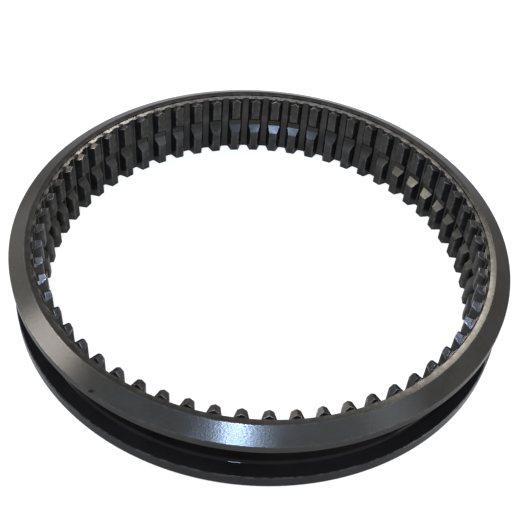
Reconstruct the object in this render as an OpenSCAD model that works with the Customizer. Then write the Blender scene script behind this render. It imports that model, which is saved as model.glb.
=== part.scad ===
// Gearbox sliding sleeve: one turned steel ring with a shift fork groove outside,
// splines inside, pointed tooth ends at the top and a detent groove across the teeth.
// Millimetres, +Z up, origin at the middle of the bottom face.

/* [Ring] */
// height from the bottom face to the top face
height = 30; // [27:0.5:40]
// wall left between the tooth roots and the groove floor
wall_t = 2.8; // [2:0.1:6]
// chamfer that breaks the sharp edges at the mouth of the fork groove
edge_break = 0.3; // [0.1:0.05:0.6]
// chamfer round the bottom edge of the lower flange
foot_chamfer = 1.2; // [0.3:0.1:2.5]

/* [Fork groove] */
// depth of the fork groove from the outside of the flanges to its floor
groove_depth = 6.6; // [5:0.1:10]
// width of the fork groove between the two flanges
groove_w = 16.4; // [10:0.1:18]
// thickness of the upper flange from the top face down to the groove
top_flange_t = 7.1; // [6:0.1:8.5]
// radius in the two inner corners of the groove
groove_fillet = 1.5; // [0.5:0.1:3]

/* [Top bevel] */
// width of the bevel on the upper flange, measured along the radius
bevel_w = 6.5; // [3:0.1:8]
// height of the bevel on the upper flange
bevel_h = 3.65; // [1.5:0.05:5]

/* [Teeth] */
// number of teeth round the bore
tooth_count = 60; // [40:1:80]
// tooth size: pitch circle diameter for each tooth
tooth_module = 3; // [2.5:0.05:3.5]
// height of a tooth from the pitch circle to its tip
tooth_addendum = 1.7; // [1.2:0.05:2]
// depth of a tooth from the pitch circle to its root
tooth_dedendum = 2.1; // [1.7:0.05:2.6]
// width of the space between two teeth, as a share of the tooth pitch
space_share = 0.48; // [0.45:0.001:0.55]
// slope of each side of a space against the middle line of the space
flank_angle = 17.5; // [8:0.5:20]
// radius in the corners at the bottom of a space
root_fillet = 0.8; // [0.3:0.05:1]
// radius on the two long edges of a tooth tip
tip_round = 0.55; // [0.1:0.05:0.7]
// chamfer on the tooth tips at the bottom face
bore_chamfer = 0.15; // [0.1:0.05:1]
// turn of the first tooth away from the X axis
first_tooth = 4.1; // [0:0.1:6]

/* [Pointed tooth ends] */
// full angle of the roof on each tooth end
point_angle = 106; // [90:1:130]
// drop of the roof ridge below the top face
ridge_drop = 0.2; // [0.1:0.05:1]
// length of the roof ridge from the tooth tip towards the rim
ridge_len = 2.45; // [2:0.05:2.6]
// slope of the outer end of a tooth, from the ridge out to the floor of the relief
end_run = 0.25; // [0.1:0.05:0.4]
// step from the tooth roots out to the rim wall
rim_step = 0.5; // [0.4:0.05:0.6]
// height of the straight rim wall above the lead-in
rim_wall_h = 0.75; // [0.3:0.05:1]
// width of the sloped lead-in from the rim wall in to the floor of the relief
lead_in_w = 0.75; // [0.65:0.05:0.9]
// height of the sloped lead-in between the rim wall and the floor of the relief
lead_in_h = 1.15; // [0.9:0.05:1.4]

/* [Detent groove] */
// width of the detent groove where it opens through the tooth tips
detent_w = 8.05; // [6.5:0.05:10]
// depth of the detent groove below the tooth tips
detent_depth = 2.7; // [1:0.05:3]
// slope of the two sides of the detent groove against the radius
detent_angle = 45; // [40:1:50]

/* [Hidden] */
$fn = 240;
over = 2;
cut_gap = 0.1;
tooth_pitch_angle = 360 / tooth_count;
pitch_r = tooth_module * tooth_count / 2;
tip_r = pitch_r - tooth_addendum;
root_r = pitch_r + tooth_dedendum;
rim_r = root_r + rim_step;
ridge_end_r = tip_r + ridge_len;
groove_r = root_r + wall_t;
outer_r = groove_r + groove_depth;
bevel_r = outer_r - bevel_w;
groove_top = height - top_flange_t;
groove_bottom = groove_top - groove_w;
detent_rise = detent_depth * tan(detent_angle);
detent_top = (height + detent_w) / 2;
detent_bottom = (height - detent_w) / 2;
space_half = pitch_r * sin(180 * space_share / tooth_count);
root_half = touch(root_r - root_fillet, -root_fillet / cos(flank_angle))[0] / (root_r - root_fillet);
roof_fall = 1 / tan(point_angle / 2);
roof_half = root_r * sin(180 / tooth_count - asin(root_half)) + cut_gap;
relief_r = rim_r - lead_in_w;
relief_z = height - rim_wall_h - lead_in_h;
tip_steps = 2;
root_steps = 4;

steel = [0.26, 0.26, 0.25];

// half width of a space at the distance y from the axis
function space_x(y) = space_half - (y - pitch_r) * tan(flank_angle);

// centre of a circle that touches a flank at the offset d and lies at the distance r from the axis
function touch_x(r, d) = space_x(sqrt(pow(r, 2) - pow(space_x(r) + d, 2))) + d;
function touch(r, d) = [touch_x(r, d), sqrt(pow(r, 2) - pow(touch_x(r, d), 2))];

// points on an arc about c, from the angle a to the angle b in n steps
function turn(a, b, i, n) = a + (b - a) * i / n;
function arc_points(c, r, a, b, n) = [
    for (i = [0 : n]) c + r * [cos(turn(a, b, i, n)), sin(turn(a, b, i, n))]
];

// the same points in turned order on the other side of the middle line
function flipped(points) = [for (i = [len(points) - 1 : -1 : 0]) [-points[i][0], points[i][1]]];

// right half of the outline of one space between two teeth, from the bore to the root
function space_side() = let (
    tip_c = touch(tip_r + tip_round, tip_round / cos(flank_angle)),
    root_c = touch(root_r - root_fillet, -root_fillet / cos(flank_angle)),
    tip_a = 180 + atan2(tip_c[1], tip_c[0]),
    root_a = atan2(root_c[1], root_c[0])
) concat(
    [tip_c * (tip_r - over) / (tip_r + tip_round)],
    arc_points(tip_c, tip_round, tip_a, 180 + flank_angle, tip_steps),
    arc_points(root_c, root_fillet, flank_angle, root_a, root_steps)
);

// rounded outline of the fork groove in the section of the ring
module groove_outline() {
    out = outer_r + over;
    translate([groove_r + groove_fillet, groove_bottom])
        square([out - groove_r - groove_fillet, groove_w]);
    translate([groove_r, groove_bottom + groove_fillet])
        square([out - groove_r, groove_w - 2 * groove_fillet]);
    translate([groove_r + groove_fillet, groove_bottom + groove_fillet])
        circle(r = groove_fillet, $fn = 32);
    translate([groove_r + groove_fillet, groove_top - groove_fillet])
        circle(r = groove_fillet, $fn = 32);
}

// broken edge at the mouth of the fork groove, at the height z, facing up or down
module mouth_break(z, side) {
    polygon([
        [outer_r - edge_break, z],
        [outer_r + over, z],
        [outer_r + over, z + side * edge_break],
        [outer_r, z + side * edge_break]
    ]);
}

// turned section of the ring, with the bore at the tooth tips
module ring_section() {
    difference() {
        polygon([
            [tip_r + bore_chamfer, 0],
            [outer_r - foot_chamfer, 0],
            [outer_r, foot_chamfer],
            [outer_r, height - bevel_h],
            [bevel_r, height],
            [rim_r, height],
            [rim_r, height - rim_wall_h],
            [relief_r, relief_z],
            [ridge_end_r + end_run, relief_z],
            [ridge_end_r, height],
            [tip_r, height],
            [tip_r, detent_top],
            [tip_r + detent_depth, detent_top - detent_rise],
            [tip_r + detent_depth, detent_bottom + detent_rise],
            [tip_r, detent_bottom],
            [tip_r, bore_chamfer]
        ]);
        groove_outline();
        mouth_break(groove_bottom, -1);
        mouth_break(groove_top, 1);
    }
}

// all the spaces between the teeth, cut straight through the ring
module tooth_spaces() {
    side = space_side();
    translate([0, 0, -over])
        linear_extrude(height = height + 2 * over)
            for (i = [0 : tooth_count - 1])
                rotate([0, 0, first_tooth + (i + 0.5) * tooth_pitch_angle - 90])
                    polygon(concat(side, flipped(side)));
}

// the space above the roof of every pointed tooth end
module tooth_points() {
    for (i = [0 : tooth_count - 1])
        rotate([0, 0, first_tooth + i * tooth_pitch_angle])
            translate([tip_r - over, 0, height - ridge_drop])
                rotate([90, 0, 90])
                    linear_extrude(height = relief_r - tip_r + over - cut_gap)
                        polygon([
                            [0, 0],
                            [roof_half, -roof_half * roof_fall],
                            [roof_half, over],
                            [-roof_half, over],
                            [-roof_half, -roof_half * roof_fall]
                        ]);
}

// the whole sleeve: a turned ring, with its spaces and its pointed ends cut
module sliding_sleeve() {
    color(steel)
        difference() {
            rotate_extrude()
                ring_section();
            tooth_spaces();
            tooth_points();
        }
}

sliding_sleeve();
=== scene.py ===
"""Looks of a gearbox sliding sleeve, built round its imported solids.

The sleeve is one dark steel ring: a bevelled upper flange, a fork groove, a lower
flange and a bore of pointed teeth. Its mesh is drawn again here with finer curves and
softly broken edges, and it is dressed in seven steel finishes.
"""

import logging
import math
from dataclasses import dataclass, field, replace
from enum import Enum
from typing import Sequence, Union

import bpy
from mathutils import Matrix, Vector


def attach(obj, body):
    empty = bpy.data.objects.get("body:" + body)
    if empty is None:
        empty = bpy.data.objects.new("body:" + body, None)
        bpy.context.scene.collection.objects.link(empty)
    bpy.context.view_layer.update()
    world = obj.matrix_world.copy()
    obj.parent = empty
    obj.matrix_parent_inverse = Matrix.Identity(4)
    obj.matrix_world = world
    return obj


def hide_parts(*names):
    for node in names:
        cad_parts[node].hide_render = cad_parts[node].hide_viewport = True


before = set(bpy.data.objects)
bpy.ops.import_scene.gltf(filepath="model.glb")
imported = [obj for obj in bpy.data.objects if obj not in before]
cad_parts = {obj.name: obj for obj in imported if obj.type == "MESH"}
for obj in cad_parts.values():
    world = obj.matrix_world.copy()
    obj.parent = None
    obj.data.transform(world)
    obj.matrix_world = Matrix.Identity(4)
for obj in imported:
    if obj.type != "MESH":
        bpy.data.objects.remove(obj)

LOG = logging.getLogger("sleeve")
MM = 0.001
SAME_PLACE = 1e-4
SETTLE_ROUNDS = 24
WHITE = (1.0, 1.0, 1.0)
Colour = tuple[float, float, float]
Place = tuple[float, float, float]
Socket = bpy.types.NodeSocket
Feed = Union[Socket, float]


class Zone(Enum):
    """Kinds of surface on the sleeve; the value is the material's place on the mesh."""

    FLANGE = 0
    # The fork groove, its mouth breaks and the rim wall; its near-black finish is painted shade.
    GROOVE = 1
    TEETH = 2
    RIM = 3
    LEAD_IN = 4
    POINT = 5
    # The lower flange and the bottom face, whose finish is darkened as painted shade.
    FOOT = 6


class Lamp(Enum):
    """Studio lamps, named by where they stand round the sleeve."""

    FRONT = "front_lamp"
    LEFT = "left_lamp"
    BACK = "back_lamp"
    RIGHT = "right_lamp"
    SIDE = "side_panel"
    CORNER = "corner_panel"
    CEILING = "ceiling_panel"


@dataclass(frozen=True)
class SleeveSizes:
    """Driving sizes of the sleeve in millimetres and degrees, as in the part's source.

    Only ridge_fall is set here alone: how far a tooth end falls for each millimetre out.
    """

    height: float = 30.0
    wall_t: float = 2.8
    mouth_break: float = 0.3
    foot_chamfer: float = 1.2
    groove_depth: float = 6.6
    groove_w: float = 16.4
    top_flange_t: float = 7.1
    groove_fillet: float = 1.5
    bevel_w: float = 6.5
    bevel_h: float = 3.65
    tooth_count: int = 60
    tooth_module: float = 3.0
    tooth_addendum: float = 1.7
    tooth_dedendum: float = 2.1
    space_share: float = 0.48
    flank_angle: float = 17.5
    root_fillet: float = 0.8
    tip_round: float = 0.55
    bore_chamfer: float = 0.15
    first_tooth: float = 4.1
    point_angle: float = 106.0
    ridge_drop: float = 0.2
    ridge_fall: float = 0.13
    ridge_len: float = 2.45
    end_run: float = 0.25
    rim_step: float = 0.5
    rim_wall_h: float = 0.75
    lead_in_w: float = 0.75
    lead_in_h: float = 1.15
    cut_gap: float = 0.1
    detent_w: float = 8.05
    detent_depth: float = 2.7
    detent_angle: float = 45.0

    @property
    def half_pitch(self) -> float:
        """Half of the angle from one tooth to the next."""
        return 180.0 / self.tooth_count

    @property
    def pitch_r(self) -> float:
        """Radius of the pitch circle."""
        return self.tooth_module * self.tooth_count / 2.0

    @property
    def tip_r(self) -> float:
        """Radius of the tooth tips."""
        return self.pitch_r - self.tooth_addendum

    @property
    def root_r(self) -> float:
        """Radius of the tooth roots."""
        return self.pitch_r + self.tooth_dedendum

    @property
    def rim_r(self) -> float:
        """Radius of the rim wall."""
        return self.root_r + self.rim_step

    @property
    def ridge_end_r(self) -> float:
        """Radius at which the ridge of a tooth end stops."""
        return self.tip_r + self.ridge_len

    @property
    def relief_in_r(self) -> float:
        """Inner radius of the relief behind the tooth ends."""
        return self.ridge_end_r + self.end_run

    @property
    def relief_r(self) -> float:
        """Outer radius of the relief, at the foot of the lead-in."""
        return self.rim_r - self.lead_in_w

    @property
    def relief_z(self) -> float:
        """Height of the floor of the relief."""
        return self.height - self.rim_wall_h - self.lead_in_h

    @property
    def roof_run_out(self) -> float:
        """Radius at which the cut of the tooth ends stops."""
        return self.relief_r - self.cut_gap

    @property
    def groove_r(self) -> float:
        """Radius of the floor of the fork groove."""
        return self.root_r + self.wall_t

    @property
    def outer_r(self) -> float:
        """Radius of the two flanges."""
        return self.groove_r + self.groove_depth

    @property
    def bevel_r(self) -> float:
        """Inner radius of the bevel on the upper flange."""
        return self.outer_r - self.bevel_w

    @property
    def groove_top(self) -> float:
        """Height of the upper side of the fork groove."""
        return self.height - self.top_flange_t

    @property
    def groove_bottom(self) -> float:
        """Height of the lower side of the fork groove."""
        return self.groove_top - self.groove_w


@dataclass(frozen=True)
class Corner:
    """One corner of a turned section: its round, its wear, its surface and the one after it."""

    r: float
    z: float
    soft: float = 0.0
    steps: int = 0
    zone: Zone = Zone.FLANGE
    after: Zone = Zone.FLANGE
    wear: float = 1.0


@dataclass(frozen=True)
class Station:
    """One point on a section: radius, height, how worn it is and the surface after it."""

    r: float
    z: float
    wear: float = 0.0
    zone: Zone = Zone.TEETH


@dataclass(frozen=True)
class Column:
    """One upright line round the bore, at an angle from the middle of its tooth."""

    angle: float
    offset: float
    wall_r: float
    wear: float
    carries_outside: bool


def rgba(colour: Colour) -> tuple[float, float, float, float]:
    """Returns a colour with full cover added."""
    return (*colour, 1.0)


class NodeBench:
    """Adds shader nodes to one tree and joins them."""

    def __init__(self, tree: bpy.types.NodeTree) -> None:
        """Keeps the tree that the nodes go into."""
        self.tree = tree

    def add(self, kind: str, inputs: dict[str | int, object] | None = None,
            **settings: object) -> bpy.types.Node:
        """Adds one node.

        Args:
            kind: Blender's name of the node type.
            inputs: Sockets by name or number, with a value or a socket to join.
            settings: Node properties to set.

        Returns:
            The new node.
        """
        node = self.tree.nodes.new(kind)
        for name, value in settings.items():
            setattr(node, name, value)
        for name, value in (inputs or {}).items():
            self.feed(node.inputs[name], value)
        return node

    def feed(self, socket: Socket, value: object) -> None:
        """Joins a socket to another, or sets its value."""
        if isinstance(value, bpy.types.NodeSocket):
            self.tree.links.new(value, socket)
        else:
            socket.default_value = value

    def math(self, operation: str, first: Feed, second: Feed = 0.0, clamp: bool = False) -> Socket:
        """Adds a Math node and returns its result."""
        node = self.add("ShaderNodeMath", {0: first, 1: second}, operation=operation, use_clamp=clamp)
        return node.outputs[0]

    def span(self, value: Feed, low: Feed, high: Feed, to_low: float = 0.0,
             to_high: float = 1.0) -> Socket:
        """Adds a clamped smooth Map Range node and returns its result."""
        inputs = {"Value": value, "From Min": low, "From Max": high, "To Min": to_low, "To Max": to_high}
        node = self.add("ShaderNodeMapRange", inputs, interpolation_type="SMOOTHSTEP", clamp=True)
        return node.outputs["Result"]

    def noise(self, place: Socket, scale: Feed, detail: float, roughness: float = 0.5) -> Socket:
        """Adds a Noise Texture node and returns its value."""
        inputs = {"Vector": place, "Scale": scale, "Detail": detail, "Roughness": roughness}
        return self.add("ShaderNodeTexNoise", inputs).outputs["Fac"]

    def blend(self, share: Feed, first: object, second: object) -> Socket:
        """Adds a colour mix and returns its colour."""
        return self.add("ShaderNodeMix", {0: share, 6: first, 7: second}, data_type="RGBA").outputs[2]

    def between(self, share: Feed, first: Feed, second: Feed) -> Socket:
        """Adds a value mix and returns its value."""
        return self.add("ShaderNodeMix", {0: share, 2: first, 3: second}, data_type="FLOAT").outputs[0]

    def bump(self, depth: float, height: Socket, normal: Socket | None = None) -> Socket:
        """Adds a Bump node of a depth in millimetres and returns its normal."""
        node = self.add("ShaderNodeBump", {"Strength": 1.0, "Distance": depth * MM, "Height": height})
        if normal is not None:
            self.feed(node.inputs["Normal"], normal)
        return node.outputs[0]


class SurfaceEffect:
    """A shader node group that is built once and placed in several finishes."""

    name: str = "effect"
    sockets_in: dict[str, float] = {}
    sockets_out: tuple[str, ...] = ()

    def group(self) -> bpy.types.NodeTree:
        """Returns the node group, and builds it on the first call."""
        found = bpy.data.node_groups.get(self.name)
        if found is not None:
            return found
        tree = bpy.data.node_groups.new(self.name, "ShaderNodeTree")
        for name, value in self.sockets_in.items():
            socket = tree.interface.new_socket(name=name, in_out="INPUT", socket_type="NodeSocketFloat")
            socket.default_value = value
        for name in self.sockets_out:
            tree.interface.new_socket(name=name, in_out="OUTPUT", socket_type="NodeSocketFloat")
        bench = NodeBench(tree)
        ends = bench.add("NodeGroupOutput")
        for name, socket in self.draw(bench, bench.add("NodeGroupInput")).items():
            tree.links.new(socket, ends.inputs[name])
        return tree

    def draw(self, bench: NodeBench, start: bpy.types.Node) -> dict[str, Socket]:
        """Draws the inside of the group.

        Args:
            bench: Where the nodes are added.
            start: The group's input node.

        Returns:
            The sockets that feed the group's outputs, by name.
        """
        raise NotImplementedError

    def place(self, bench: NodeBench, **values: float) -> bpy.types.Node:
        """Places the group in a finish with its own values and returns its node."""
        node = bench.add("ShaderNodeGroup", node_tree=self.group())
        for name, value in values.items():
            node.inputs[name.title()].default_value = value
        return node


class BlastGrain(SurfaceEffect):
    """Fine pits of a blasted face, with clouds of lighter and darker tone."""

    name = "blast_grain"
    sockets_in = {"Grain": 1700.0, "Cloud": 45.0}
    sockets_out = ("Height", "Fleck", "Tone")
    coarse_scale: float = 0.6
    fine_share: float = 0.45
    fleck_from: float = 0.54
    fleck_full: float = 0.72
    tone_dark: float = 0.34
    tone_pale: float = 0.66

    def draw(self, bench: NodeBench, start: bpy.types.Node) -> dict[str, Socket]:
        """Draws two sizes of pits, bright flecks and slow clouds.

        Args:
            bench: Where the nodes are added.
            start: The group's input node.

        Returns:
            Height, Fleck and Tone.
        """
        place = bench.add("ShaderNodeTexCoord").outputs["Object"]
        grain = start.outputs["Grain"]
        fine = bench.noise(place, grain, detail=2.0, roughness=0.6)
        coarse = bench.noise(place, bench.math("MULTIPLY", grain, self.coarse_scale), detail=2.0)
        cloud = bench.noise(place, start.outputs["Cloud"], detail=5.0, roughness=0.62)
        fine_part = bench.math("MULTIPLY", fine, self.fine_share)
        coarse_part = bench.math("MULTIPLY", coarse, 1.0 - self.fine_share)
        return {
            "Height": bench.math("ADD", fine_part, coarse_part),
            "Fleck": bench.span(coarse, self.fleck_from, self.fleck_full),
            "Tone": bench.span(cloud, self.tone_dark, self.tone_pale),
        }


class EdgeWear(SurfaceEffect):
    """Brighter metal on the broken edges, rubbed off unevenly."""

    name = "edge_wear"
    sockets_in = {"Patch": 420.0, "Amount": 1.0}
    sockets_out = ("Mask",)
    patch_from: float = 0.38
    patch_full: float = 0.62
    least_wear: float = 0.15

    def draw(self, bench: NodeBench, start: bpy.types.Node) -> dict[str, Socket]:
        """Draws the mesh's own edge mark, broken up by noise.

        Args:
            bench: Where the nodes are added.
            start: The group's input node.

        Returns:
            Mask.
        """
        edge = bench.add("ShaderNodeAttribute", attribute_name="edge").outputs["Fac"]
        place = bench.add("ShaderNodeTexCoord").outputs["Object"]
        patch = bench.noise(place, start.outputs["Patch"], detail=3.0)
        broken = bench.span(patch, self.patch_from, self.patch_full, to_low=self.least_wear)
        worn = bench.math("MULTIPLY", edge, broken)
        return {"Mask": bench.math("MULTIPLY", worn, start.outputs["Amount"], clamp=True)}


class TurningLines(SurfaceEffect):
    """Fine lines that the lathe leaves round the axis of the ring."""

    name = "turning_lines"
    sockets_in = {"Pitch": 2600.0}
    sockets_out = ("Height",)
    height_share: float = 1.37

    def draw(self, bench: NodeBench, start: bpy.types.Node) -> dict[str, Socket]:
        """Draws noise that changes only with the radius and the height.

        Args:
            bench: Where the nodes are added.
            start: The group's input node.

        Returns:
            Height.
        """
        place = bench.add("ShaderNodeTexCoord").outputs["Object"]
        parts = bench.add("ShaderNodeSeparateXYZ", {"Vector": place})
        across = bench.add("ShaderNodeCombineXYZ", {"X": parts.outputs["X"], "Y": parts.outputs["Y"]})
        radius = bench.add("ShaderNodeVectorMath", {0: across.outputs[0]}, operation="LENGTH")
        rise = bench.math("MULTIPLY", parts.outputs["Z"], self.height_share)
        along = bench.math("ADD", radius.outputs["Value"], rise)
        inputs = {"W": along, "Scale": start.outputs["Pitch"], "Detail": 2.0}
        lines = bench.add("ShaderNodeTexNoise", inputs, noise_dimensions="1D")
        return {"Height": lines.outputs["Fac"]}


@dataclass(frozen=True)
class DentShade:
    """A small flat dent, not modelled, whose shade is painted as a dark spot; lengths in millimetres."""

    place: Place
    # The dark colour painted as the shade in the dent.
    tone: Colour = (0.01, 0.01, 0.01)
    squeeze: Place = (0.7, 1.7, 1.7)
    core: float = 0.4
    reach: float = 1.5
    strength: float = 0.85

    def mark(self, bench: NodeBench, colour: Socket) -> Socket:
        """Paints the dent's shade: darkens a colour where the dent lies.

        Args:
            bench: Where the nodes are added.
            colour: The colour without the painted dent shade.

        Returns:
            The colour with the painted dent shade in it.
        """
        place = bench.add("ShaderNodeTexCoord").outputs["Object"]
        centre = tuple(part * MM for part in self.place)
        apart = bench.add("ShaderNodeVectorMath", {0: place, 1: centre}, operation="SUBTRACT")
        flat = bench.add("ShaderNodeVectorMath", {0: apart.outputs[0], 1: self.squeeze},
                         operation="MULTIPLY")
        away = bench.add("ShaderNodeVectorMath", {0: flat.outputs[0]}, operation="LENGTH")
        dent = bench.span(away.outputs["Value"], self.core * MM, self.reach * MM, self.strength, 0.0)
        return bench.blend(dent, colour, rgba(self.tone))


@dataclass(frozen=True)
class SteelFinish:
    """One steel finish of the sleeve: its tones, gloss, grain and wear; depths in millimetres."""

    name: str
    dark: Colour
    pale: Colour
    fleck: Colour
    worn: Colour
    rough: tuple[float, float]
    worn_rough: float
    grain: float
    cloud: float
    grain_depth: float
    line_depth: float
    fleck_share: float
    wear: float
    metal: float = 1.0
    shine: float = 0.5
    grazing: Colour = (0.5, 0.5, 0.5)
    dent_shade: DentShade | None = None

    def material(self) -> bpy.types.Material:
        """Builds the finish.

        Returns:
            A new material with grain, clouds, turning lines, edge wear and any painted dent shade.
        """
        made = bpy.data.materials.new(self.name)
        made.use_nodes = True
        made.node_tree.nodes.clear()
        bench = NodeBench(made.node_tree)
        blast = BlastGrain().place(bench, grain=self.grain, cloud=self.cloud)
        wear = EdgeWear().place(bench, amount=self.wear).outputs["Mask"]
        lines = TurningLines().place(bench)
        tone = bench.blend(blast.outputs["Tone"], rgba(self.dark), rgba(self.pale))
        flecks = bench.math("MULTIPLY", blast.outputs["Fleck"], self.fleck_share)
        spotted = bench.blend(flecks, tone, rgba(self.fleck))
        colour = bench.blend(wear, spotted, rgba(self.worn))
        # Paints the shade of a dent into the colour.
        if self.dent_shade is not None:
            colour = self.dent_shade.mark(bench, colour)
        gloss = bench.span(blast.outputs["Tone"], 0.0, 1.0, *self.rough)
        cut = bench.bump(self.line_depth, lines.outputs["Height"])
        shader = bench.add("ShaderNodeBsdfPrincipled", {
            "Base Color": colour,
            "Metallic": self.metal,
            "Roughness": bench.between(wear, gloss, self.worn_rough),
            "Normal": bench.bump(self.grain_depth, blast.outputs["Height"], cut),
            "Specular IOR Level": self.shine,
            "Specular Tint": rgba(self.grazing),
        })
        bench.add("ShaderNodeOutputMaterial", {"Surface": shader.outputs[0]})
        return made


# The flange finish carries one painted dent shade on the bevel.
FLANGE_FINISH = SteelFinish(
    name="blasted_flange_steel", dark=(0.0412, 0.0393, 0.036), pale=(0.049, 0.0468, 0.043),
    fleck=(0.09, 0.09, 0.09), worn=(0.15, 0.147, 0.142), rough=(0.19, 0.22), worn_rough=0.15,
    grain=1900.0, cloud=60.0, grain_depth=0.033, line_depth=0.002, fleck_share=0.12, wear=0.2,
    metal=0.7, shine=0.0, grazing=(0.65, 0.65, 0.65), dent_shade=DentShade(place=(-55.66, -84.1, 26.72)))
# Painted shade: the lower flange takes a darker copy of the flange steel, standing in for the little light
# its wall gets near the floor; its edge wear is real wear.
FOOT_FINISH = replace(
    FLANGE_FINISH, name="painted_shade_foot_steel", dark=(0.0275, 0.0264, 0.0252), pale=(0.033, 0.0318, 0.0304),
    fleck=(0.07, 0.07, 0.07), wear=0.45, dent_shade=None)
RIM_FINISH = SteelFinish(
    name="turned_rim_steel", dark=(0.032, 0.0305, 0.028), pale=(0.043, 0.041, 0.038),
    fleck=(0.07, 0.069, 0.066), worn=(0.12, 0.117, 0.11), rough=(0.17, 0.21), worn_rough=0.2,
    grain=1500.0, cloud=60.0, grain_depth=0.006, line_depth=0.001, fleck_share=0.15, wear=0.4)
LEAD_IN_FINISH = SteelFinish(
    name="bare_lead_in_steel", dark=(0.16, 0.154, 0.144), pale=(0.22, 0.212, 0.20),
    fleck=(0.2, 0.2, 0.2), worn=(0.2, 0.2, 0.2), rough=(0.32, 0.38), worn_rough=0.3,
    grain=1500.0, cloud=420.0, grain_depth=0.006, line_depth=0.004, fleck_share=0.1, wear=0.0)
# Painted shade: a near-black base for the fork groove and the rim wall, standing in for the shade in these
# recesses; the low roughness is the steel's own gloss.
GROOVE_FINISH = SteelFinish(
    name="painted_shade_groove_steel", dark=(0.0105, 0.0090, 0.0088), pale=(0.014, 0.0122, 0.0118),
    fleck=(0.02, 0.02, 0.02), worn=(0.10, 0.10, 0.105), rough=(0.05, 0.065), worn_rough=0.25,
    grain=1500.0, cloud=60.0, grain_depth=0.005, line_depth=0.002, fleck_share=0.1, wear=0.6,
    metal=0.0, shine=0.075, grazing=WHITE)
TEETH_FINISH = SteelFinish(
    name="hardened_tooth_steel", dark=(0.030, 0.0285, 0.0262), pale=(0.044, 0.042, 0.0385),
    fleck=(0.08, 0.08, 0.08), worn=(0.12, 0.117, 0.112), rough=(0.21, 0.27), worn_rough=0.28,
    grain=1500.0, cloud=90.0, grain_depth=0.02, line_depth=0.0, fleck_share=0.15, wear=0.5,
    metal=0.68, shine=0.0)
POINT_FINISH = SteelFinish(
    name="milled_point_steel", dark=(0.031, 0.0275, 0.025), pale=(0.048, 0.043, 0.039),
    fleck=(0.10, 0.10, 0.10), worn=(0.28, 0.275, 0.27), rough=(0.26, 0.32), worn_rough=0.28,
    grain=1500.0, cloud=260.0, grain_depth=0.012, line_depth=0.0, fleck_share=0.15, wear=0.8,
    metal=0.6, shine=0.0)
FINISHES = {
    Zone.FLANGE: FLANGE_FINISH,
    Zone.GROOVE: GROOVE_FINISH,
    Zone.TEETH: TEETH_FINISH,
    Zone.RIM: RIM_FINISH,
    Zone.LEAD_IN: LEAD_IN_FINISH,
    Zone.POINT: POINT_FINISH,
    Zone.FOOT: FOOT_FINISH,
}


@dataclass(frozen=True)
class ToothSpace:
    """The outline of the space between two teeth, seen along the axis."""

    sizes: SleeveSizes
    round_steps: int = 4
    flank_marks: tuple[float, ...] = (0.3, 0.6, 0.82)
    land_marks: tuple[float, ...] = (0.12, 0.55, 0.965, 1.0)

    @property
    def slope(self) -> float:
        """Slope of a flank against the middle of the space, in radians."""
        return math.radians(self.sizes.flank_angle)

    def flank_x(self, y: float) -> float:
        """Half width of the space at a distance from the axis."""
        s = self.sizes
        half = s.pitch_r * math.sin(math.radians(s.half_pitch * s.space_share))
        return half - (y - s.pitch_r) * math.tan(self.slope)

    def touching(self, r: float, radius: float) -> tuple[float, float]:
        """Finds the centre of a round that touches the flank.

        Args:
            r: Distance of the centre from the axis.
            radius: Radius of the round, below zero for a round inside the space.

        Returns:
            The centre, across the space and along its middle.
        """
        away = radius / math.cos(self.slope)
        x = self.flank_x(r) + away
        for _ in range(SETTLE_ROUNDS):
            x = self.flank_x(math.sqrt(r * r - x * x)) + away
        return x, math.sqrt(r * r - x * x)

    def arc(self, centre: tuple[float, float], r: float, start: float,
            end: float) -> list[tuple[float, float]]:
        """Points on a round between two angles."""
        turns = [start + (end - start) * i / self.round_steps for i in range(self.round_steps + 1)]
        return [(centre[0] + r * math.cos(a), centre[1] + r * math.sin(a)) for a in turns]

    def half_outline(self) -> list[tuple[float, float, float]]:
        """Draws half of the outline.

        Returns:
            Angle from the middle of the space, radius and wear, from root to tip.
        """
        s = self.sizes
        root_c = self.touching(s.root_r - s.root_fillet, -s.root_fillet)
        tip_c = self.touching(s.tip_r + s.tip_round, s.tip_round)
        root = self.arc(root_c, s.root_fillet, math.atan2(root_c[1], root_c[0]), self.slope)
        tip_end = math.pi + math.atan2(tip_c[1], tip_c[0])
        tip = self.arc(tip_c, s.tip_round, math.pi + self.slope, tip_end)
        flank = [tuple(a + (b - a) * share for a, b in zip(root[-1], tip[0])) for share in self.flank_marks]
        outline = [(0.0, s.root_r, 0.0)]
        for marks, wear in ((root, 0.0), (flank, 0.0), (tip, 1.0)):
            outline += [(math.degrees(math.atan2(x, y)), math.hypot(x, y), wear) for x, y in marks]
        edge = outline[-1][0]
        outline += [(edge + (s.half_pitch - edge) * share, s.tip_r, 0.0) for share in self.land_marks]
        return outline


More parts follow.
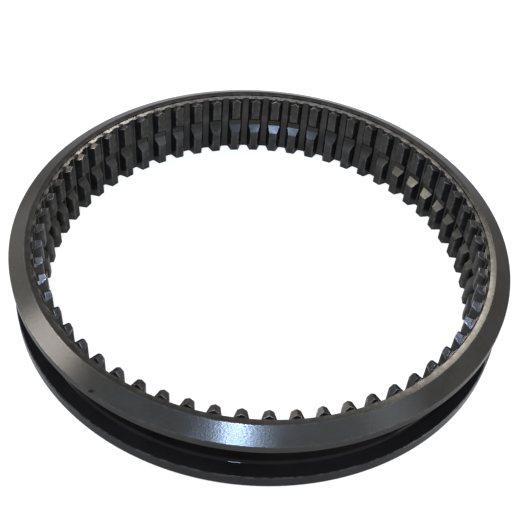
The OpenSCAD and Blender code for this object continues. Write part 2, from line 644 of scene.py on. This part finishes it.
@dataclass(frozen=True)
class BoreSection:
    """The section of the bore through one column, from the rim to the bottom face."""

    sizes: SleeveSizes
    column: Column
    tooth_soft: float
    edge_soft: float
    shoulder: float = 0.4
    detent_wear: float = 0.5
    beside_marks: tuple[float, ...] = (0.25, 0.5, 0.75)

    @property
    def turned(self) -> float:
        """Angle of the column from the middle of its tooth, in radians."""
        return math.radians(self.column.offset)

    @property
    def end_slope(self) -> float:
        """How far the outer end of a tooth runs out for each millimetre down."""
        return self.sizes.end_run / (self.sizes.height - self.sizes.relief_z)

    @property
    def inner_r(self) -> float:
        """Where the floor of the relief ends towards the bore."""
        return max(self.sizes.relief_in_r, self.column.wall_r)

    @property
    def lead_in_foot(self) -> tuple[float, float]:
        """Radius and height at which the lead-in ends."""
        s = self.sizes
        r = max(s.relief_r, self.column.wall_r)
        return r, s.relief_z + (r - s.relief_r) * s.lead_in_h / s.lead_in_w

    def roof(self, r: float) -> float:
        """Height of the roof of the tooth end at a radius."""
        s = self.sizes
        ridge_z = s.height - s.ridge_drop - s.ridge_fall * (r - s.tip_r)
        aside = math.hypot(r * math.sin(self.turned), self.tooth_soft)
        return ridge_z - aside / math.tan(math.radians(s.point_angle / 2.0))

    def floor(self, r: float) -> float:
        """Height of the relief behind the tooth end, where the roof may cut it lower."""
        s = self.sizes
        return min(s.relief_z, self.roof(r)) if r < s.roof_run_out else s.relief_z

    def rim(self) -> list[Station]:
        """Draws the rim edge, the rim wall, the lead-in and the relief.

        Returns:
            Stations from the top face in to the tooth end; the rim wall takes the groove's near-black finish
            as painted shade.
        """
        s, e, wall = self.sizes, self.edge_soft, self.column.wall_r
        foot = self.lead_in_foot
        stations = [
            Station(s.rim_r + e, s.height, 1.0, Zone.RIM),
            Station(s.rim_r + 0.3 * e, s.height - 0.3 * e, 1.0, Zone.RIM),
            Station(s.rim_r, s.height - e, 1.0, Zone.RIM),
            # The rim wall takes the groove finish: painted shade for the dark line under the rim edge.
            Station(s.rim_r, s.height - 3.0 * e, 0.0, Zone.GROOVE),
            Station(s.rim_r, s.height - s.rim_wall_h, 0.0, Zone.LEAD_IN),
            Station(*foot, 0.0, Zone.LEAD_IN),
        ]
        if wall >= s.relief_r:
            return stations + [Station(wall, foot[1])] * 3
        run_out = max(s.roof_run_out / math.cos(self.turned), wall)
        return stations + [
            Station(run_out, s.relief_z),
            Station(run_out, self.floor(run_out - self.tooth_soft)),
            Station(self.inner_r, self.floor(self.inner_r)),
        ]

    def tooth_end(self) -> list[Station]:
        """Draws the pointed end of the tooth, or what lies beside it.

        Returns:
            Six stations from the relief in to the bore; between two teeth they share one place.
        """
        s, soft, wall = self.sizes, self.tooth_soft, self.column.wall_r
        held = 3.0 * soft
        least_ridge = 8.0 * soft
        end_r = s.ridge_end_r
        for _ in range(SETTLE_ROUNDS):
            end_r = s.ridge_end_r + (s.height - self.roof(end_r)) * self.end_slope
        brink = (wall, self.roof(wall) - soft)
        if self.roof(s.relief_in_r) > s.relief_z + soft and end_r > wall + least_ridge:
            ridge = 1.0 if self.column.offset == 0.0 else 0.0
            outer = (end_r + self.end_slope * soft, self.roof(end_r) - soft)
            reach = (end_r - soft, end_r - held, wall + held, wall + soft)
            places = [outer, *((r, self.roof(r)) for r in reach), brink]
            wears = (1.0, 1.0, ridge, ridge, 1.0, 1.0)
        elif wall < s.relief_in_r - held:
            outer = (self.inner_r, self.floor(self.inner_r))
            reach = [self.inner_r + (wall - self.inner_r) * share for share in self.beside_marks]
            places = [outer, *((r, self.roof(r)) for r in (*reach, wall + soft)), brink]
            wears = (0.0, 0.0, 0.0, 0.3, 1.0, 1.0)
        else:
            floor_z = self.lead_in_foot[1] if wall > s.relief_r else self.floor(wall)
            places = [(wall, floor_z)] * 6
            wears = (0.0,) * 6
        skins = (*[Zone.POINT] * 5, Zone.TEETH)
        return [Station(*place, wear, skin) for place, wear, skin in zip(places, wears, skins)]

    def tooth_wall(self, top: Station) -> list[Station]:
        """Draws the long face of the tooth with the detent groove across it.

        Args:
            top: The last station of the tooth end.

        Returns:
            Stations from below the tooth end to the bottom face.
        """
        s, wall = self.sizes, self.column.wall_r
        side = self.column.wear if top.wear else 0.0
        ramp_wear = max(side, self.detent_wear)
        slope = math.tan(math.radians(s.detent_angle))
        into = min(wall - s.tip_r, s.detent_depth) * slope
        deepest = s.detent_depth * slope
        floor_r = max(wall, s.tip_r + s.detent_depth)
        upper, lower = (s.height + s.detent_w) / 2.0, (s.height - s.detent_w) / 2.0
        chamfer_r = s.tip_r + s.bore_chamfer
        return [
            Station(wall, max(top.z - self.shoulder, upper - into), side),
            Station(wall, upper - into, ramp_wear),
            Station(floor_r, upper - deepest),
            Station(floor_r, lower + deepest),
            Station(wall, lower + into, ramp_wear),
            Station(wall, max(0.0, chamfer_r - wall), side),
            Station(max(wall, chamfer_r), 0.0, side),
        ]

    def stations(self) -> list[Station]:
        """Returns the whole section in order; neighbours may share one place."""
        end = self.tooth_end()
        return self.rim() + end + self.tooth_wall(end[-1])


@dataclass
class SleeveRing:
    """The whole ring: flanges, fork groove, bevel and the bore of pointed teeth."""

    sizes: SleeveSizes = field(default_factory=SleeveSizes)
    edge_soft: float = 0.12
    tooth_soft: float = 0.09
    outside_soft: float = 0.3
    bevel_soft: float = 0.36
    mouth_soft: float = 0.12
    edge_steps: int = 4
    bevel_steps: int = 5
    mouth_steps: int = 2
    fillet_steps: int = 9
    hold: float = 0.35
    least_hold: float = 0.02
    round_room: float = 0.45
    sharp_angle: float = 34.0
    piece_name: str = "sleeve_ring"
    points: list[Place] = field(default_factory=list)
    faces: list[tuple[int, ...]] = field(default_factory=list)
    zones: list[int] = field(default_factory=list)
    wears: list[float] = field(default_factory=list)

    def columns(self) -> list[Column]:
        """Lays out the upright lines round the bore.

        Returns:
            All columns in order round the axis.
        """
        s = self.sizes
        outline = ToothSpace(s).half_outline()
        last = len(outline) - 1
        middle = min(range(len(outline)), key=lambda i: abs(outline[i][0] - 0.5 * s.half_pitch))
        carriers = {0, middle, last}
        found: list[Column] = []
        for tooth in range(s.tooth_count):
            centre = s.first_tooth + 2.0 * s.half_pitch * tooth
            for side, order in ((1.0, range(last + 1)), (-1.0, range(last - 1, 0, -1))):
                for i in order:
                    angle, r, wear = outline[i]
                    offset = side * (angle - s.half_pitch)
                    found.append(Column(centre + offset, offset, r, wear, i in carriers))
        return found

    def outside_section(self) -> list[Station]:
        """Draws the turned section of the outside, from the top face to the bottom face.

        Returns:
            Stations in order, with softened corners.
        """
        s, soft, mouth = self.sizes, self.outside_soft, self.mouth_soft
        mouth_r = s.outer_r - s.mouth_break
        edge_steps, mouth_steps, fillet_steps = self.edge_steps, self.mouth_steps, self.fillet_steps
        groove = (Zone.GROOVE, Zone.GROOVE)
        foot = (Zone.FOOT, Zone.FOOT)
        corners = [
            Corner(s.bevel_r, s.height, self.bevel_soft, edge_steps),
            Corner(s.outer_r, s.height - s.bevel_h, soft, self.bevel_steps),
            Corner(s.outer_r, s.groove_top + s.mouth_break, mouth, mouth_steps),
            Corner(mouth_r, s.groove_top, mouth, mouth_steps, *groove),
            Corner(s.groove_r, s.groove_top, s.groove_fillet, fillet_steps, *groove, wear=0.0),
            Corner(s.groove_r, s.groove_bottom, s.groove_fillet, fillet_steps, *groove, wear=0.0),
            Corner(mouth_r, s.groove_bottom, mouth, mouth_steps, Zone.GROOVE, Zone.FOOT),
            Corner(s.outer_r, s.groove_bottom - s.mouth_break, mouth, mouth_steps, *foot),
            Corner(s.outer_r, s.foot_chamfer, soft, edge_steps, *foot),
            Corner(s.outer_r - s.foot_chamfer, 0.0, soft, edge_steps, *foot),
        ]
        line = [Corner(s.rim_r, s.height), *corners, Corner(s.groove_r, 0.0)]
        stations: list[Station] = []
        for before, corner, after in zip(line, corners, line[2:]):
            stations += self.softened(before, corner, after)
            stations[-1] = replace(stations[-1], zone=corner.after)
        return stations

    def softened(self, before: Corner, corner: Corner, after: Corner) -> list[Station]:
        """Rounds one corner of a section.

        Args:
            before: The corner before it.
            corner: The corner to round.
            after: The corner after it.

        Returns:
            A holding point, the round, and a holding point.
        """
        here = Vector((corner.r, corner.z))
        back = Vector((before.r, before.z)) - here
        ahead = Vector((after.r, after.z)) - here
        room = self.round_room * min(back.length, ahead.length)
        back.normalize()
        ahead.normalize()
        half = 0.5 * back.angle(ahead)
        reach = min(corner.soft / math.tan(half), room)
        radius = reach * math.tan(half)
        centre = here + (back + ahead).normalized() * (radius / math.sin(half))
        start, end = here + back * reach - centre, here + ahead * reach - centre
        turn = start.angle_signed(end)
        spins = [Matrix.Rotation(-turn * step / corner.steps, 2) for step in range(corner.steps + 1)]
        stations = [Station(*(centre + spin @ start), corner.wear, corner.zone) for spin in spins]
        held = min(self.hold, max(0.0, room - reach))
        if held > self.least_hold:
            first, last = here + back * (reach + held), here + ahead * (reach + held)
            stations.insert(0, Station(*first, zone=corner.zone))
            stations.append(Station(*last, zone=corner.zone))
        return stations

    def point(self, angle: float, station: Station) -> int:
        """Adds one mesh point at an angle and returns its number."""
        a, r = math.radians(angle), station.r * MM
        self.points.append((r * math.cos(a), r * math.sin(a), station.z * MM))
        self.wears.append(station.wear)
        return len(self.points) - 1

    def line_of_points(self, angle: float, stations: Sequence[Station]) -> list[int]:
        """Adds the points of one section, and joins neighbours that share a place.

        Args:
            angle: Where the section stands round the axis.
            stations: The section.

        Returns:
            One point number for each station.
        """
        numbers: list[int] = []
        for i, station in enumerate(stations):
            last = stations[i - 1] if i else None
            if last and math.hypot(station.r - last.r, station.z - last.z) < SAME_PLACE:
                numbers.append(numbers[-1])
            else:
                numbers.append(self.point(angle, station))
        return numbers

    def face(self, corners: Sequence[int], zone: Zone) -> None:
        """Adds one face if it still has three different corners."""
        kept = [n for i, n in enumerate(corners) if n != corners[i - 1]]
        if len(set(kept)) >= 3:
            self.faces.append(tuple(kept))
            self.zones.append(zone.value)

    def skin_bore(self, columns: Sequence[Column]) -> list[list[int]]:
        """Adds the points and faces of the bore.

        Args:
            columns: The upright lines round the bore.

        Returns:
            The point numbers of each column.
        """
        sections = [BoreSection(self.sizes, c, self.tooth_soft, self.edge_soft).stations() for c in columns]
        bore = [self.line_of_points(c.angle, section) for c, section in zip(columns, sections)]
        for i, left in enumerate(bore):
            right = bore[(i + 1) % len(bore)]
            for row in range(len(left) - 1):
                self.face((left[row], left[row + 1], right[row + 1], right[row]), sections[i][row].zone)
        return bore

    def skin_outside(self, columns: Sequence[Column], bore: Sequence[Sequence[int]]) -> None:
        """Adds the outside, and the two end faces that join it to the bore.

        Args:
            columns: The upright lines round the bore.
            bore: The point numbers of each column.
        """
        outside = self.outside_section()
        shell = {i: self.line_of_points(c.angle, outside) for i, c in enumerate(columns) if c.carries_outside}
        carriers = sorted(shell)
        for i, j in zip(carriers, carriers[1:] + carriers[:1]):
            here, there = shell[i], shell[j]
            for row in range(len(outside) - 1):
                self.face((here[row], there[row], there[row + 1], here[row + 1]), outside[row].zone)
            between = [bore[(i + k) % len(bore)] for k in range((j - i) % len(bore) + 1)]
            self.face([here[0], *(line[0] for line in between), there[0]], Zone.RIM)
            self.face([there[-1], *(line[-1] for line in reversed(between)), here[-1]], Zone.FOOT)

    def build(self) -> bpy.types.Object:
        """Builds the ring as one closed mesh.

        Returns:
            The new object, with its surfaces sorted by finish.
        """
        columns = self.columns()
        bore = self.skin_bore(columns)
        self.skin_outside(columns, bore)
        mesh = bpy.data.meshes.new(self.piece_name)
        mesh.from_pydata(self.points, [], self.faces)
        mesh.polygons.foreach_set("material_index", self.zones)
        mesh.attributes.new("edge", "FLOAT", "POINT").data.foreach_set("value", self.wears)
        mesh.update()
        mesh.shade_smooth()
        mesh.set_sharp_from_angle(angle=math.radians(self.sharp_angle))
        ring = bpy.data.objects.new(self.piece_name, mesh)
        bpy.context.scene.collection.objects.link(ring)
        even = ring.modifiers.new("even_shading", "WEIGHTED_NORMAL")
        even.keep_sharp = True
        return ring

    def dress(self, ring: bpy.types.Object) -> None:
        """Gives the ring its finishes and its place in the part.

        Args:
            ring: The object that build returned.
        """
        for zone in Zone:
            ring.data.materials.append(FINISHES[zone].material())
        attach(ring, "root")
        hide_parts("sliding_sleeve")


@dataclass(frozen=True)
class LampPlan:
    """Where a lamp hangs, its width and height, its power and its light; metres and watts."""

    place: Place
    size: tuple[float, float]
    power: float
    colour: Colour


LAMPS = {
    Lamp.FRONT: LampPlan((-0.045, -0.52, 0.95), (0.06, 0.06), 5.2, (0.45, 0.64, 1.0)),
    Lamp.LEFT: LampPlan((-0.955, 0.05, 0.70), (0.34, 0.34), 4.5, (1.0, 0.98, 0.95)),
    Lamp.BACK: LampPlan((0.380, 0.700, 0.886), (0.22, 0.22), 1.75, (1.0, 0.955, 0.88)),
    Lamp.RIGHT: LampPlan((1.09, -0.10, 0.24), (0.95, 0.3), 6.0, (1.0, 0.97, 0.93)),
    Lamp.SIDE: LampPlan((-0.96, 0.62, 0.38), (0.7, 0.5), 1.7, (1.0, 0.98, 0.95)),
    Lamp.CORNER: LampPlan((0.72, -0.31, 0.87), (0.26, 0.26), 0.5, (0.75, 0.85, 1.0)),
    Lamp.CEILING: LampPlan((0.0, -0.36, 1.05), (1.9, 0.8), 1.3, (0.25, 0.5, 1.0)),
}


@dataclass(frozen=True)
class Studio:
    """The pale floor, the plain surroundings and the soft lamps."""

    floor_size: float = 12.0
    floor_albedo: float = 0.4
    floor_glow: float = 0.78
    sky: Colour = (0.6, 0.6, 0.6)
    target: Place = (0.0, 0.0, 0.015)
    floor_name: str = "studio_floor"

    def floor(self) -> bpy.types.Object:
        """Lays the floor under the sleeve.

        Returns:
            The floor's object.
        """
        half = self.floor_size / 2.0
        corners = [(-half, -half, 0.0), (half, -half, 0.0), (half, half, 0.0), (-half, half, 0.0)]
        mesh = bpy.data.meshes.new(self.floor_name)
        mesh.from_pydata(corners, [], [(0, 1, 2, 3)])
        mesh.materials.append(self.floor_paint())
        floor = bpy.data.objects.new(self.floor_name, mesh)
        bpy.context.scene.collection.objects.link(floor)
        return floor

    def floor_paint(self) -> bpy.types.Material:
        """Mixes the floor's paint, which shows white and keeps the shadow.

        Returns:
            A matt material that glows only for the rays that show the background.
        """
        made = bpy.data.materials.new("pale_floor")
        made.use_nodes = True
        made.node_tree.nodes.clear()
        bench = NodeBench(made.node_tree)
        matt = bench.add("ShaderNodeBsdfDiffuse", {"Color": rgba((self.floor_albedo,) * 3)}).outputs[0]
        glow = bench.add("ShaderNodeEmission", {"Color": rgba(WHITE), "Strength": self.floor_glow})
        both = bench.add("ShaderNodeAddShader", {0: matt, 1: glow.outputs[0]}).outputs[0]
        shown = bench.add("ShaderNodeMixShader", {0: self.shown_rays(bench), 1: matt, 2: both})
        bench.add("ShaderNodeOutputMaterial", {"Surface": shown.outputs[0]})
        return made

    def shown_rays(self, bench: NodeBench) -> Socket:
        """Returns 1 for the rays that show the background: camera, glossy and transmission."""
        path = bench.add("ShaderNodeLightPath")
        first = bench.math("MAXIMUM", path.outputs["Is Camera Ray"], path.outputs["Is Glossy Ray"])
        return bench.math("MAXIMUM", first, path.outputs["Is Transmission Ray"])

    def surroundings(self) -> None:
        """Sets a white background and a dimmer even light."""
        world = bpy.data.worlds.new("studio")
        bpy.context.scene.world = world
        world.use_nodes = True
        world.node_tree.nodes.clear()
        bench = NodeBench(world.node_tree)
        even = bench.add("ShaderNodeBackground", {"Color": rgba(self.sky)}).outputs[0]
        white = bench.add("ShaderNodeBackground", {"Color": rgba(WHITE)}).outputs[0]
        mix = bench.add("ShaderNodeMixShader", {0: self.shown_rays(bench), 1: even, 2: white})
        bench.add("ShaderNodeOutputWorld", {"Surface": mix.outputs[0]})

    def hang(self, lamp: Lamp, plan: LampPlan) -> None:
        """Hangs one soft lamp that faces the sleeve.

        Args:
            lamp: Which lamp it is.
            plan: Where it hangs and how it shines.
        """
        data = bpy.data.lights.new(lamp.value, "AREA")
        data.shape = "RECTANGLE"
        data.size, data.size_y = plan.size
        data.energy = plan.power
        data.color = plan.colour
        hung = bpy.data.objects.new(lamp.value, data)
        bpy.context.scene.collection.objects.link(hung)
        hung.location = plan.place
        aim = Vector(self.target) - Vector(plan.place)
        hung.rotation_euler = aim.to_track_quat("-Z", "Y").to_euler()

    def light(self) -> None:
        """Hangs every lamp: cool light over the viewer, warm light at the sides and the back."""
        for lamp, plan in LAMPS.items():
            self.hang(lamp, plan)


@dataclass(frozen=True)
class PhotoCamera:
    """The camera, standing where the photograph was taken from."""

    place: Place = (-0.005671, -0.264295, 0.281682)
    right: Place = (0.99706, 0.0567, 0.0515)
    up: Place = (-0.0766, 0.7377, 0.6707)
    lens: float = 61.04
    sensor: float = 36.0
    shift: tuple[float, float] = (0.0386, 0.0712)
    nearest: float = 0.01
    farthest: float = 50.0

    def stand(self) -> bpy.types.Object:
        """Stands the camera in the scene and returns it."""
        data = bpy.data.cameras.new("photo_camera")
        data.sensor_fit = "HORIZONTAL"
        data.sensor_width = self.sensor
        data.lens = self.lens
        data.shift_x, data.shift_y = self.shift
        data.clip_start = self.nearest
        data.clip_end = self.farthest
        camera = bpy.data.objects.new("photo_camera", data)
        bpy.context.scene.collection.objects.link(camera)
        right = Vector(self.right).normalized()
        back = right.cross(Vector(self.up)).normalized()
        up = back.cross(right)
        turn = Matrix((right, up, back)).transposed().to_4x4()
        camera.matrix_world = Matrix.Translation(Vector(self.place)) @ turn
        bpy.context.scene.camera = camera
        return camera


def main() -> None:
    """Builds the camera, the ring and the studio, and reports each piece."""
    logging.basicConfig(level=logging.INFO, format="%(name)s: %(message)s")
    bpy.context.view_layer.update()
    bpy.context.scene.view_settings.view_transform = "Standard"
    PhotoCamera().stand()
    sleeve = SleeveRing()
    ring = sleeve.build()
    sleeve.dress(ring)
    LOG.info("%s: %d points, %d faces", ring.name, len(ring.data.vertices), len(ring.data.polygons))
    studio = Studio()
    floor = studio.floor()
    studio.surroundings()
    studio.light()
    LOG.info("%s laid, %d lamps hung", floor.name, len(LAMPS))


if __name__ == "__main__":
    main()
